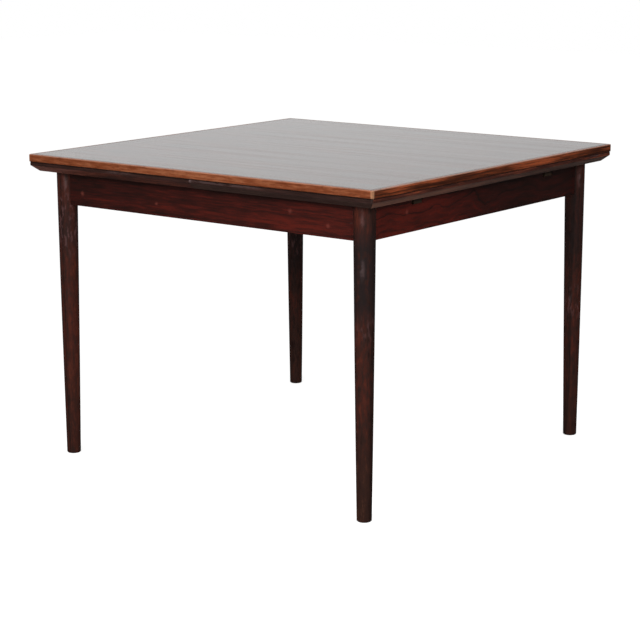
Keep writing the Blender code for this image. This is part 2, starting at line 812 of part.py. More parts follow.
def build_guide_rails(side_aprons):
    """Cross rails, each notched for two pairs of runners."""
    shoulder = SIDE_APRON_INNER_Y - SEAT_GAP
    for x_sign, word in ((-1, "left"), (1, "right")):
        name = "guide_rail_" + word
        middle = x_sign * RAIL_CENTRE_X
        faces = (middle - RAIL_THICKNESS / 2, middle + RAIL_THICKNESS / 2)
        mesh = box(name, (faces[0], -shoulder, RAIL_BOTTOM), (faces[1], shoulder, FRAME_TOP))
        rail = place(name, mesh, "beech")
        corners = (
            (
                middle - RAIL_TENON_THICKNESS / 2,
                -(SIDE_APRON_INNER_Y + RAIL_TENON_LENGTH),
                RAIL_BOTTOM + RAIL_TENON_SHOULDER,
            ),
            (
                middle + RAIL_TENON_THICKNESS / 2,
                SIDE_APRON_INNER_Y + RAIL_TENON_LENGTH,
                FRAME_TOP - RAIL_TENON_SHOULDER,
            ),
        )
        tenon_member(rail, name, corners, side_aprons)
        for number, y in enumerate(own_runner_places(x_sign), start=1):
            outline = [(y + x_sign * across, z) for across, z in rail_notch_outline()]
            notch = end_plate(name, outline, faces[0] - OVERRUN, faces[1] + OVERRUN)
            cut(rail, guide("{}_notch_{}".format(name, number), notch))


def tenon_member(member, name, corners, side_aprons):
    """Give a cross member its tenons, and the side aprons their mortises."""
    join(member, guide(name + "_tenon", box(name, *corners)))
    mortise = guide(name + "_mortise", box(name, *corners, SEAT_GAP))
    for apron in side_aprons.values():
        cut(apron, mortise)


def build_centre_bearer(side_aprons):
    """The board under the runners and their stops that takes the top's pegs."""
    name = "centre_bearer"
    shoulder = SIDE_APRON_INNER_Y - SEAT_GAP
    half = BEARER_WIDTH / 2
    mesh = box(name, (-half, -shoulder, BEARER_BOTTOM), (half, shoulder, STOP_PASS))
    bearer = place(name, mesh, "beech")
    middle = BEARER_BOTTOM + BEARER_THICKNESS / 2
    reach = SIDE_APRON_INNER_Y + RAIL_TENON_LENGTH
    half_tenon = half - RAIL_TENON_SHOULDER
    corners = (
        (-half_tenon, -reach, middle - BEARER_TENON_THICKNESS / 2),
        (half_tenon, reach, middle + BEARER_TENON_THICKNESS / 2),
    )
    tenon_member(bearer, name, corners, side_aprons)
    radius = PEG_DIAMETER / 2 + SLIDE_GAP
    for word, y in (("front", -PEG_Y), ("back", PEG_Y)):
        hole = rod(name, radius, BEARER_BOTTOM - OVERRUN, STOP_PASS + OVERRUN)
        cut(bearer, guide("{}_hole_{}".format(name, word), hole, None, (0, y, 0)))


def build_corner_blocks():
    """Glued blocks across the inner corners, with their faces clear of the legs."""
    setback = APRON_THICKNESS - APRON_FACE_OUT + SEAT_GAP
    near = (LEG_TOP_DIAMETER / 2 + BLOCK_LEG_CLEARANCE) * math.sqrt(2) - setback
    outline = [
        (near, setback),
        (BLOCK_REACH, setback),
        (setback, BLOCK_REACH),
        (setback, near),
    ]
    top = FRAME_TOP - BLOCK_TOP_DROP
    for x_sign, x_word in ((-1, "left"), (1, "right")):
        for y_sign, y_word in ((-1, "front"), (1, "back")):
            name = "corner_block_{}_{}".format(y_word, x_word)
            points = [(-x_sign * u, -y_sign * v) for u, v in outline]
            mesh = plate(name, points, top - BLOCK_HEIGHT, top)
            place(name, mesh, "beech", None, (x_sign * LEG_X, y_sign * LEG_Y, 0))


def build_frame():
    legs = build_legs()
    copes = leg_copes()
    side_aprons = build_side_aprons(legs, copes)
    build_end_aprons(legs, copes)
    build_guide_rails(side_aprons)
    build_centre_bearer(side_aprons)
    build_corner_blocks()


def main():
    clear_scene()
    build_frame()
    build_leaf("leaf_right", 0.0)
    build_leaf("leaf_left", math.pi)
    build_top()


main()
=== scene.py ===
"""The looks of the draw-leaf dining table: its finishes, floor, light and camera.

Lengths are in metres and angles in radians, in the table's own frame: X runs the way the
leaves draw, Y across the table, Z up from the floor.
"""

import math

import bpy
from mathutils import Matrix, Vector


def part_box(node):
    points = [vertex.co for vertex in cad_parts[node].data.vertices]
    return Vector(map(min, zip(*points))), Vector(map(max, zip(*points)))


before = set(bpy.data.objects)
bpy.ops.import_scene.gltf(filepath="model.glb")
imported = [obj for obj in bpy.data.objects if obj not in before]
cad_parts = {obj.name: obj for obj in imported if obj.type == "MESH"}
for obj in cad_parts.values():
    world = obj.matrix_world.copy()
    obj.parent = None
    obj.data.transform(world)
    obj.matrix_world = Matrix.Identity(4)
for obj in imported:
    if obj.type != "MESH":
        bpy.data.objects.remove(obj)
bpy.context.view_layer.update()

# Sizes of the pieces, taken from the frame
TOP_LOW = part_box("top_lipping_front")[0]
TOP_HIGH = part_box("top_lipping_back")[1]
FIELD_LOW, FIELD_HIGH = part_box("top_field")
LEAF_LOW, LEAF_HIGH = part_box("leaf_right_lipping_back")
RUNNER_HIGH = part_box("leaf_right_runner_back")[1]
APRON_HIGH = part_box("side_apron_back")[1]

# What the frame's boxes don't say, and what follows from it
VENEER_SHEETS = 6
VENEER_WIDTH = (FIELD_HIGH.y - FIELD_LOW.y) / VENEER_SHEETS
LEAF_BEVEL_HEIGHT = 0.014
NOSE_LOW = LEAF_LOW.z + LEAF_BEVEL_HEIGHT
SCREWS_IN_RUNNER = 3

# Edges
MERGE_DISTANCE = 0.00001
SMOOTH_ANGLE = math.radians(32)
FLAT_ANGLE = math.radians(1)
ARRIS_WIDTH = 0.0008
RUNNER_ARRIS_WIDTH = 0.0006
ARRIS_SEGMENTS = 2
LARGE_FACE_WEIGHT = 100


# Nodes


class Socket:
    """One output of a shader node, ready for sums with numbers and other outputs."""

    def __init__(self, nodes, output):
        self.nodes = nodes
        self.output = output

    def __add__(self, other):
        return self.nodes.maths("ADD", self, other)

    def __radd__(self, other):
        return self.nodes.maths("ADD", other, self)

    def __sub__(self, other):
        return self.nodes.maths("SUBTRACT", self, other)

    def __rsub__(self, other):
        return self.nodes.maths("SUBTRACT", other, self)

    def __mul__(self, other):
        return self.nodes.maths("MULTIPLY", self, other)

    def __truediv__(self, other):
        return self.nodes.maths("DIVIDE", self, other)

    def __pow__(self, other):
        return self.nodes.maths("POWER", self, other)

    def __abs__(self):
        return self.nodes.maths("ABSOLUTE", self)

    def others(self):
        """All the outputs of the same node, by name."""
        return {output.name: Socket(self.nodes, output) for output in self.output.node.outputs}


class Nodes:
    """The shader nodes of one finish, of the floor or of the world."""

    def __init__(self, tree):
        self.tree = tree
        self.tree.nodes.clear()

    def add(self, kind, settings, sockets):
        """Add a node: its settings first, then its sockets' values or links.

        A socket goes by its name or its number, and a colour is red, green and blue.
        """
        node = self.tree.nodes.new(kind)
        for name, value in settings.items():
            setattr(node, name, value)
        shown = [socket for socket in node.inputs if socket.enabled]
        for key, value in sockets.items():
            named = [socket for socket in shown if socket.name == key]
            socket = named[0] if named else shown[key]
            if isinstance(value, Socket):
                self.tree.links.new(value.output, socket)
            elif socket.type == "RGBA":
                socket.default_value = (*value, 1)
            else:
                socket.default_value = value
        outputs = [output for output in node.outputs if output.enabled]
        return Socket(self, outputs[0]) if outputs else None

    def maths(self, operation, *terms):
        return self.add("ShaderNodeMath", {"operation": operation}, dict(enumerate(terms)))

    def vector(self, operation, *terms):
        sockets = dict(enumerate(terms))
        return self.add("ShaderNodeVectorMath", {"operation": operation}, sockets)

    def noise(self, place, size, detail, roughness=0.5):
        """Soft noise from 0 to 1, with features of about the size given."""
        sockets = {"Vector": place, "Scale": 1 / size, "Detail": detail, "Roughness": roughness}
        return self.add("ShaderNodeTexNoise", {}, sockets)

    def bands(self, distance, size, detail):
        """Noise along one distance only, so that it draws bands of uneven width."""
        sockets = {"W": distance, "Scale": 1 / size, "Detail": detail, "Roughness": 0.6}
        return self.add("ShaderNodeTexNoise", {"noise_dimensions": "1D"}, sockets)

    def rise(self, value, low, high):
        """From 0 at low to 1 at high, smoothly, and level beyond them."""
        sockets = {"Value": value, "From Min": low, "From Max": high}
        return self.add("ShaderNodeMapRange", {"interpolation_type": "SMOOTHSTEP"}, sockets)

    def mix(self, share, first, second):
        sockets = {"Factor": share, "A": first, "B": second}
        return self.add("ShaderNodeMix", {"data_type": "RGBA"}, sockets)

    def tint(self, value, stops):
        """A colour read off stops of (value, colour)."""
        tinted = self.add("ShaderNodeValToRGB", {}, {"Fac": value})
        set_stops(tinted.output.node.color_ramp, stops)
        return tinted

    def bump(self, height, relief, strength=1.0):
        """Normals bent as if the surface had the relief given, in metres."""
        sockets = {"Strength": strength, "Distance": relief, "Height": height}
        return self.add("ShaderNodeBump", {}, sockets)


def set_stops(ramp, stops):
    while len(ramp.elements) < len(stops):
        ramp.elements.new(1.0)
    for element, (position, colour) in zip(ramp.elements, stops):
        element.position = position
        element.color = (*colour, 1)


def finish(name, paint):
    """A material whose shader is set up by a function of its nodes."""
    material = bpy.data.materials.new(name)
    material.use_nodes = True
    nodes = Nodes(material.node_tree)
    nodes.add("ShaderNodeOutputMaterial", {}, {"Surface": paint(nodes)})
    return material


def polish(nodes, colour, roughness, height, relief, specular=0.5):
    """The shader of a polished or planed surface, with a faint relief."""
    sockets = {
        "Base Color": colour,
        "Roughness": roughness,
        "IOR": 1.5,
        "Specular IOR Level": specular,
        "Normal": nodes.bump(height, relief),
    }
    return nodes.add("ShaderNodeBsdfPrincipled", {}, sockets)


# Places on the table and in the wood

ALONG_X, ALONG_Y, ALONG_Z = 0, 1, 2


def split(nodes, place):
    """A place as its three numbers."""
    return list(nodes.add("ShaderNodeSeparateXYZ", {}, {0: place}).others().values())


def table_place(nodes):
    """The place on the table, in its own frame."""
    return nodes.add("ShaderNodeTexCoord", {}, {}).others()["Object"]


def table_axes(nodes):
    """The place on the table as three numbers, the last of which is its height."""
    return split(nodes, table_place(nodes))


def log_axes(nodes, grain, log):
    """Along, across and through the log that a board was sawn from."""
    axes = split(nodes, nodes.vector("ADD", table_place(nodes), log))
    return axes[grain], axes[(grain + 1) % 3], axes[(grain + 2) % 3]


def matched_axes(nodes, log):
    """Places in the sheets of veneer, laid side by side and turned like the pages of a book."""
    along, across, through = log_axes(nodes, ALONG_X, log)
    return along, nodes.maths("PINGPONG", across, VENEER_WIDTH), through


def drawn_out(nodes, axes, times):
    """A place in the log for noise whose spots are drawn out along the grain."""
    along, across, through = axes
    sockets = {0: along / times, 1: across, 2: through}
    return nodes.add("ShaderNodeCombineXYZ", {}, sockets)


# Rosewood's darkest tones
INK = (0.010, 0.0050, 0.0042)
SOOT = (0.018, 0.0060, 0.0046)
DUSK = (0.011, 0.0085, 0.0085)
SMOKE = (0.016, 0.0110, 0.0110)

# Its browns, from dark to pale
EARTH = (0.032, 0.0145, 0.0100)
UMBER = (0.034, 0.0140, 0.0105)
BARK = (0.052, 0.0200, 0.0160)
TAWNY = (0.064, 0.0290, 0.0185)
PEAT = (0.060, 0.0330, 0.0260)
DRAB = (0.066, 0.0370, 0.0270)
TAN = (0.125, 0.0580, 0.0400)
BRICK = (0.150, 0.0520, 0.0380)
FAWN = (0.190, 0.0800, 0.0500)
DUN = (0.180, 0.0900, 0.0560)

# Its reds, from dark to pale
OXBLOOD = (0.046, 0.0078, 0.0056)
MAROON = (0.045, 0.0100, 0.0035)
CRIMSON = (0.060, 0.0145, 0.0095)
LIVER = (0.060, 0.0170, 0.0110)
WINE = (0.104, 0.0115, 0.0066)
ROSE = (0.094, 0.0210, 0.0115)
RUSSET = (0.105, 0.0260, 0.0140)
CHESTNUT = (0.125, 0.0290, 0.0090)
COPPER = (0.135, 0.0280, 0.0065)
AMBER = (0.215, 0.0540, 0.0180)
EMBER = (0.300, 0.0660, 0.0240)
RUST = (0.380, 0.0820, 0.0260)
HONEY = (0.330, 0.1080, 0.0450)

# Its worn and bruised places, some of them also painted highlights and reflections, from dark to pale
RAW = (0.140, 0.0600, 0.0600)
SORE = (0.240, 0.0560, 0.0400)
SCUFF = (0.180, 0.1200, 0.1200)
BLUSH = (0.600, 0.2500, 0.1500)
STRAW = (0.560, 0.3000, 0.1600)

# Beech
BEECH_PALE = (0.56, 0.36, 0.20)
BEECH_DARK = (0.42, 0.24, 0.125)
BEECH_FLECK = (0.26, 0.13, 0.065)
# A runner end's dark stain, darkened further to paint the shade under the leaf
RUNNER_STAIN_AND_SHADE = (0.010, 0.0072, 0.0056)

# Steel
STEEL_BRIGHT = (0.50, 0.48, 0.45)
STEEL_TARNISHED = (0.30, 0.27, 0.23)


def shades(*colours, low=0.38, high=0.62):
    """Stops that spread colours evenly between two tones."""
    step = (high - low) / (len(colours) - 1)
    return [(low + step * i, colour) for i, colour in enumerate(colours)]


# The woods' tones, piece by piece
FIELD_TONES = shades(DUSK, UMBER, RUSSET, DUN, low=0.36, high=0.66)
PANEL_TONES = shades(DUSK, UMBER, RUSSET, DUN, low=0.38, high=0.70)
SIDE_EDGE_TONES = shades(COPPER, AMBER, HONEY, low=0.40, high=0.60)
END_EDGE_TONES = shades(MAROON, CHESTNUT, RUST, low=0.43, high=0.58)
# The dark nose tones partly paint the shade under the top's overhanging edge; the bevel tones' paler,
# greyer colours partly paint the floor's light reflected up onto the bevels.
NOSE_TONES = shades(SOOT, UMBER, BARK)
RED_NOSE_TONES = shades(LIVER, RUSSET, EMBER, low=0.37, high=0.58)
GREY_BROWN_TONES = shades(UMBER, DRAB)
RED_BROWN_TONES = shades(UMBER, LIVER, RUSSET, BRICK)
TAN_TONES = shades(PEAT, TAN, FAWN)
APRON_TONES = shades(SOOT, OXBLOOD, WINE, low=0.36, high=0.64)
LEG_TONES = shades(SOOT, UMBER, CRIMSON, ROSE, low=0.34, high=0.67)
FOOT_TONES = shades(SOOT, UMBER, EARTH, TAWNY, low=0.34, high=0.67)

# Depths of the surfaces' relief
DEEP_RELIEF = 0.00006
USUAL_RELIEF = 0.00005
SLIGHT_RELIEF = 0.00004
FAINT_RELIEF = 0.00002

# How strongly wear, painted shade and painted highlights show, from 0 to 1
LEG_RUBS_AND_SHEEN = 0.45
LEG_SCRAPES_AND_HIGHLIGHTS = 0.35
APRON_SCUFFS = 0.20
APRON_KNOCKS = 0.50
APRON_UNDER_LEAF_SHADE = 0.60
LEAF_RUBS_AND_SHEEN = 0.22
LEAF_KNOCK_AND_GLINT = 0.80
LEAF_GROOVE_SHADE = 0.60
TOP_ARRIS_RUBS_AND_HIGHLIGHT = 0.60
TOP_CORNER_RUBS = 0.45

# The heights where a foot's brown, wear, painted highlight and painted shade begin, and where they
# are full
FOOT_HEIGHTS = (0.28, 0.08)
UNDER_LEAF_SHADE_HEIGHTS = (APRON_HIGH.z - 0.020, APRON_HIGH.z - 0.005)
NOSE_RUB_AND_SHEEN_HEIGHTS = (NOSE_LOW + 0.0012, NOSE_LOW + 0.0036)
LEAF_GROOVE_HEIGHTS = (LEAF_HIGH.z - 0.0020, LEAF_HIGH.z - 0.0008)
TOP_GROOVE_HEIGHTS = (TOP_LOW.z + 0.0022, TOP_LOW.z + 0.0010)
TOP_ARRIS_HEIGHTS = (TOP_HIGH.z - 0.0026, TOP_HIGH.z - 0.0010)

# The top's rim and corners: distances where their wear, and the rim's painted highlight, begin, and
# where they are full
RIM_WIDTH = 0.0034
RIM_WORN_AND_LIT_DISTANCES = (-0.0008, 0.0010)
CORNER_DISTANCE = TOP_HIGH.x + TOP_HIGH.y
CORNER_WORN_DISTANCES = (CORNER_DISTANCE - 0.0043, CORNER_DISTANCE - 0.0036)

# The bright knock where the leaves meet, a knock with a painted glint, as a place and a radius
SEAM_KNOCK_AND_GLINT = (0.004, -LEAF_HIGH.y, 0.7090, 0.0050)

# Smaller measures of the figure, wear and stain
NOSE_SOFTNESS = 0.0006
KNOCK_RAGGEDNESS = 0.006
CLOUD_SHARE = 0.22
RUNNER_STAIN_LENGTH = 0.030
RUNNER_STAIN_SOFTNESS = 0.002


# The figure of the wood


def growth_rings(nodes, axes, pith, waver, length):
    """Distance from the pith, bent by slow waves of the length given, and by small ones."""
    slow = nodes.noise(drawn_out(nodes, axes, length), size=0.11, detail=1.5)
    quick = nodes.noise(drawn_out(nodes, axes, length * 0.8), size=0.026, detail=2.0)
    off_across = axes[1] - pith[0]
    off_through = axes[2] - pith[1]
    radius = (off_across * off_across + off_through * off_through) ** 0.5
    return radius + (slow - 0.5) * waver + (quick - 0.5) * (waver * 0.16)


class Board:
    """The figure of one rosewood board: tone, dark veins and pores, each from 0 to 1."""

    def __init__(
        self, nodes, axes, band, streak,
        waver=0.03, length=4.0, pith=(0.11, -0.07), bold=0.25, streak_length=15,
    ):
        self.nodes = nodes
        radius = growth_rings(nodes, axes, pith, waver, length)
        rings = nodes.bands(radius, size=band, detail=3.0)
        drawn = drawn_out(nodes, axes, streak_length)
        streaks = nodes.noise(drawn, size=streak, detail=4.0, roughness=0.66)
        clouds = nodes.noise(drawn_out(nodes, axes, times=2.5), size=0.050, detail=2.5)
        self.tone = rings * bold + streaks * (1 - CLOUD_SHARE - bold) + clouds * CLOUD_SHARE
        self.veins = nodes.rise(rings, 0.40, 0.30)
        pore = nodes.noise(drawn_out(nodes, axes, times=14), size=0.00055, detail=1.0)
        self.pores = nodes.rise(pore, 0.60, 0.68)

    def colour(self, tones, vein=0.5):
        nodes = self.nodes
        veined = nodes.mix(self.veins * vein, nodes.tint(self.tone, tones), INK)
        return nodes.mix(self.pores * 0.5, veined, INK)

    def roughness(self, usual):
        """A roughness about the usual one, higher in dark wood and in pores."""
        return usual + (0.5 - self.tone) * 0.12 + self.pores * 0.10

    def relief(self):
        return self.tone * 0.3 - self.pores * 0.7


def veneer_board(nodes, log):
    """The long streaks of sliced veneer, and the ribbons of polish that lie along them."""
    axes = matched_axes(nodes, log)
    board = Board(
        nodes, axes, band=0.030, streak=0.006,
        waver=0.09, length=5.0, pith=(0.06, -0.04), bold=0.28, streak_length=45,
    )
    ribbons = nodes.noise(drawn_out(nodes, axes, times=30), size=0.018, detail=1.5)
    board.tone = board.tone + (ribbons - 0.5) * 0.30
    return board, ribbons


# Wear and dirt


def between(nodes, value, limits, soft):
    """1 between two limits and 0 outside them, with soft ends."""
    low, high = limits
    return nodes.rise(value, low - soft, low + soft) * nodes.rise(value, high + soft, high - soft)


def rubs_and_sheen(nodes, axes, few):
    """Small rubs and scratches, which also paint sheen where they are placed, fewer as the last
    number grows.
    """
    rub = nodes.noise(drawn_out(nodes, axes, times=4), size=0.0055, detail=3.0, roughness=0.6)
    return nodes.rise(rub, few - 0.06, few + 0.04)


def scuffs(nodes, axes, few):
    """Rubs gathered in patches."""
    patch = nodes.noise(drawn_out(nodes, axes, times=1.5), size=0.090, detail=1.0)
    return rubs_and_sheen(nodes, axes, few) * nodes.rise(patch, 0.50, 0.62)


def knocks_and_glints(nodes, places, height=1.0):
    """Small knocks and painted glints at the places given, each with its radius, drawn out in height.
    """
    place = nodes.vector("DIVIDE", table_place(nodes), (1, 1, height))
    ragged = nodes.noise(place, size=0.004, detail=2.0) * KNOCK_RAGGEDNESS
    edge = KNOCK_RAGGEDNESS / 2
    strongest = None
    for x, y, z, radius in places:
        away = nodes.vector("DISTANCE", place, (x, y, z / height)) + ragged
        knock = nodes.rise(away, radius + edge, edge)
        strongest = nodes.maths("MAXIMUM", strongest, knock) if strongest else knock
    return strongest


def under_leaf_shade(nodes):
    """Painted shade in the corner under the leaves, darker towards the top of a piece."""
    return nodes.rise(table_axes(nodes)[ALONG_Z], *UNDER_LEAF_SHADE_HEIGHTS)


def worn_and_highlit_top_arris(nodes):
    """Where the top's upper arris is rubbed and carries a painted highlight."""
    x, y, height = table_axes(nodes)
    past_end = abs(x) - (TOP_HIGH.x - RIM_WIDTH)
    past_side = abs(y) - (TOP_HIGH.y - RIM_WIDTH)
    near_rim = nodes.rise(nodes.maths("MAXIMUM", past_end, past_side), *RIM_WORN_AND_LIT_DISTANCES)
    near_top = nodes.rise(height, *TOP_ARRIS_HEIGHTS)
    patches = nodes.noise(table_place(nodes), size=0.018, detail=3.0)
    return near_rim * near_top * nodes.rise(patches, 0.20, 0.45)


def worn_corner(nodes):
    """Where the top's four upright corners are rubbed."""
    x, y = table_axes(nodes)[:2]
    return nodes.rise(abs(x) + abs(y), *CORNER_WORN_DISTANCES)


# Finishes


def veneer_finish():
    """The top's field: matched sheets of boldly streaked rosewood veneer under a polish."""

    def paint(nodes):
        board, ribbons = veneer_board(nodes, (0.3, 0.0, 0.2))
        roughness = 0.12 + nodes.rise(ribbons, 0.3, 0.7) * 0.05 + board.pores * 0.06
        return polish(nodes, board.colour(FIELD_TONES), roughness, board.relief(), FAINT_RELIEF)

    return finish("top_veneer", paint)


def panel_finish(name, log):
    """A leaf's panel and its hidden inner lipping, under a dull polish."""

    def paint(nodes):
        board = veneer_board(nodes, log)[0]
        colour = board.colour(PANEL_TONES)
        roughness = board.roughness(0.36)
        return polish(nodes, colour, roughness, board.relief(), SLIGHT_RELIEF, specular=0.3)

    return finish(name, paint)


def top_lipping_finish(name, grain, log, tones, vein, groove_shade_share, pale, **figure):
    """The top's solid edge, the palest rosewood on the table."""

    def paint(nodes):
        axes = log_axes(nodes, grain, log)
        board = Board(nodes, axes, pith=(0.05, -0.05), **figure)
        place = table_axes(nodes)
        board.tone = board.tone + between(nodes, place[grain], pale, soft=0.08) * 0.035
        colour = board.colour(tones, vein)
        # BLUSH along the upper arris paints its rubs and a highlight together.
        colour = nodes.mix(worn_and_highlit_top_arris(nodes) * TOP_ARRIS_RUBS_AND_HIGHLIGHT, colour, BLUSH)
        colour = nodes.mix(worn_corner(nodes) * TOP_CORNER_RUBS, colour, STRAW)
        # Painted shade in the groove between the top and the leaves, along the top's lower arris.
        groove_shade = nodes.rise(place[ALONG_Z], *TOP_GROOVE_HEIGHTS)
        colour = nodes.mix(groove_shade * groove_shade_share, colour, INK)
        roughness = board.roughness(0.30)
        return polish(nodes, colour, roughness, board.relief(), USUAL_RELIEF, specular=0.3)

    return finish(name, paint)


def leaf_lipping_finish(name, grain, log, nose, bevel, rubbed_and_sheen, paler):
    """A leaf's lipping: an upright nose, rubbed and given a painted reflection in places, and a bevel
    of other tones.
    """

    def paint(nodes):
        axes = log_axes(nodes, grain, log)
        board = Board(nodes, axes, band=0.014, streak=0.0035)
        place = table_axes(nodes)
        along = place[grain]
        height = place[ALONG_Z]
        upright = board.colour(nose, vein=0.4)
        board.tone = board.tone + (nodes.rise(along, *paler) - 0.45) * 0.16
        under = nodes.rise(height, NOSE_LOW + NOSE_SOFTNESS, NOSE_LOW - NOSE_SOFTNESS)
        colour = nodes.mix(under, upright, board.colour(bevel, vein=0.2))
        # The nose's rubs are partly wear and partly a painted reflection; the seam's knock carries a
        # painted glint.
        worn = rubs_and_sheen(nodes, axes, few=0.46) * nodes.rise(height, *NOSE_RUB_AND_SHEEN_HEIGHTS)
        worn = worn * between(nodes, along, rubbed_and_sheen, soft=0.02) * LEAF_RUBS_AND_SHEEN
        worn = nodes.maths("MAXIMUM", worn, knocks_and_glints(nodes, (SEAM_KNOCK_AND_GLINT,)) * LEAF_KNOCK_AND_GLINT)
        colour = nodes.mix(worn, colour, SCUFF)
        # Painted shade in the same groove, along the leaf's upper arris.
        groove_shade = nodes.rise(height, *LEAF_GROOVE_HEIGHTS)
        colour = nodes.mix(groove_shade * LEAF_GROOVE_SHADE, colour, INK)
        roughness = board.roughness(0.42)
        return polish(nodes, colour, roughness, board.relief(), DEEP_RELIEF, specular=0.25)

    return finish(name, paint)


def apron_finish(name, grain, log, dark_end, red_end, lift, vein, knocked, **figure):
    """Dark red rosewood that grows redder along the board, from one place to another."""

    def paint(nodes):
        axes = log_axes(nodes, grain, log)
        board = Board(nodes, axes, **figure)
        along = table_axes(nodes)[grain]
        board.tone = board.tone + (nodes.rise(along, dark_end, red_end) - 0.55) * lift
        colour = board.colour(APRON_TONES, vein)
        worn = scuffs(nodes, axes, few=0.70) * APRON_SCUFFS
        colour = nodes.mix(worn, colour, SCUFF)
        colour = nodes.mix(knocks_and_glints(nodes, knocked) * APRON_KNOCKS, colour, SORE)
        # Painted shade: the apron darkens towards its top, under the leaf.
        colour = nodes.mix(under_leaf_shade(nodes) * APRON_UNDER_LEAF_SHADE, colour, INK)
        roughness = board.roughness(0.36) + worn
        return polish(nodes, colour, roughness, board.relief(), DEEP_RELIEF, specular=0.25)

    return finish(name, paint)


def leg_finish(name, log, warmth, smoke, depth, rubbed_and_sheen, foot, scraped_and_highlit):
    """Turned rosewood: red-brown, smoky and rubbed in its upper part, with painted highlights where
    it is rubbed and scraped, browner at the foot.
    """

    def paint(nodes):
        axes = log_axes(nodes, ALONG_Z, log)
        board = Board(
            nodes, axes, band=0.012, streak=0.0045, waver=0.02, length=5.0, streak_length=6
        )
        mottle = nodes.noise(drawn_out(nodes, axes, times=2.2), size=0.014, detail=4.0, roughness=0.7)
        board.tone = board.tone + (mottle - 0.5) * (0.10 + depth * 0.5) + warmth
        height = table_axes(nodes)[ALONG_Z]
        smoky = between(nodes, height, smoke, soft=0.04) * nodes.rise(mottle, 0.34, 0.50)
        colour = nodes.mix(smoky * depth, board.colour(LEG_TONES, vein=0.4), SMOKE)
        # The rubs are partly wear and partly painted sheen.
        worn = rubs_and_sheen(nodes, axes, few=0.58) * between(nodes, height, rubbed_and_sheen, soft=0.03)
        colour = nodes.mix(worn * LEG_RUBS_AND_SHEEN, colour, RAW)
        # The scrapes sit where highlights fall: scrape and painted highlight in one.
        scrape_and_highlight = knocks_and_glints(nodes, scraped_and_highlit, height=4.0) * nodes.rise(mottle, 0.42, 0.58)
        colour = nodes.mix(scrape_and_highlight * LEG_SCRAPES_AND_HIGHLIGHTS, colour, SCUFF)
        brown = nodes.rise(height, *FOOT_HEIGHTS) * foot
        colour = nodes.mix(brown, colour, board.colour(FOOT_TONES, vein=0.4))
        roughness = board.roughness(0.33) + worn * 0.12
        return polish(nodes, colour, roughness, board.relief(), DEEP_RELIEF, specular=0.2)

    return finish(name, paint)


def beech_finish(name, grain, log, stained_from=None):
    """Plain beech with its short dark flecks; a runner's show end is stained dark, the stain darkened
    further as painted shade, and darker still under the leaf as painted shade.
    """

    def paint(nodes):
        axes = log_axes(nodes, grain, log)
        radius = growth_rings(nodes, axes, pith=(0.09, -0.12), waver=0.03, length=4.0)
        rings = nodes.bands(radius, size=0.006, detail=2.0)
        rays = nodes.noise(drawn_out(nodes, axes, times=20), size=0.002, detail=2.0)
        tone = rings * 0.7 + rays * 0.3
        colour = nodes.mix(nodes.rise(tone, 0.3, 0.7), BEECH_DARK, BEECH_PALE)
        fleck = nodes.noise(drawn_out(nodes, axes, times=7), size=0.0006, detail=1.0)
        flecks = nodes.rise(fleck, 0.63, 0.70)
        colour = nodes.mix(flecks * 0.6, colour, BEECH_FLECK)
        if stained_from:
            start = stained_from - RUNNER_STAIN_SOFTNESS
            full = stained_from + RUNNER_STAIN_SOFTNESS
            stain = nodes.rise(abs(table_axes(nodes)[ALONG_X]), start, full)
            # The stain is darker than a stain alone as painted shade; under the leaf it darkens
            # further as painted shade.
            colour = nodes.mix(stain * (0.8 + tone * 0.2), colour, RUNNER_STAIN_AND_SHADE)
            colour = nodes.mix(stain * under_leaf_shade(nodes), colour, INK)
        roughness = 0.52 - flecks * 0.05 + tone * 0.1
        return polish(nodes, colour, roughness, tone - flecks, USUAL_RELIEF, specular=0.15)

    return finish(name, paint)


def steel_finish():
    def paint(nodes):
        tarnish = nodes.noise(table_place(nodes), size=0.0015, detail=3.0)
        sockets = {
            "Base Color": nodes.mix(tarnish, STEEL_BRIGHT, STEEL_TARNISHED),
            "Metallic": 1.0,
            "Roughness": 0.32 + tarnish * 0.25,
            "Normal": nodes.bump(tarnish, USUAL_RELIEF, strength=0.5),
        }
        return nodes.add("ShaderNodeBsdfPrincipled", {}, sockets)

    return finish("screw_steel", paint)


# Edges of the pieces


def edge_group(name):
    """Drop a mesh's stored normals, merge its doubled points and smooth its slight angles."""
    group = bpy.data.node_groups.new(name, "GeometryNodeTree")
    for direction in ("INPUT", "OUTPUT"):
        group.interface.new_socket("Geometry", in_out=direction, socket_type="NodeSocketGeometry")
    add = group.nodes.new
    link = group.links.new
    start = add("NodeGroupInput")
    end = add("NodeGroupOutput")
    bare = add("GeometryNodeRemoveAttribute")
    bare.inputs["Name"].default_value = "custom_normal"
    merge = add("GeometryNodeMergeByDistance")
    merge.inputs["Distance"].default_value = MERGE_DISTANCE
    smooth = add("GeometryNodeSetShadeSmooth")
    smooth.domain = "FACE"
    smooth.inputs["Shade Smooth"].default_value = True
    angle = add("GeometryNodeInputMeshEdgeAngle")
    sharp = add("FunctionNodeCompare")
    sharp.data_type = "FLOAT"
    sharp.operation = "GREATER_THAN"
    sharp.inputs["B"].default_value = SMOOTH_ANGLE
    crease = add("GeometryNodeSetShadeSmooth")
    crease.domain = "EDGE"
    crease.inputs["Shade Smooth"].default_value = False
    link(start.outputs[0], bare.inputs["Geometry"])
    link(bare.outputs[0], merge.inputs["Geometry"])
    link(merge.outputs[0], smooth.inputs["Geometry"])
    link(smooth.outputs[0], crease.inputs["Geometry"])
    link(angle.outputs["Unsigned Angle"], sharp.inputs["A"])
    link(sharp.outputs[0], crease.inputs["Selection"])
    link(crease.outputs[0], end.inputs[0])
    return group


SMOOTHED = edge_group("smooth_by_angle")


def add_group(piece, group):
    modifier = piece.modifiers.new(group.name, "NODES")
    modifier.node_group = group


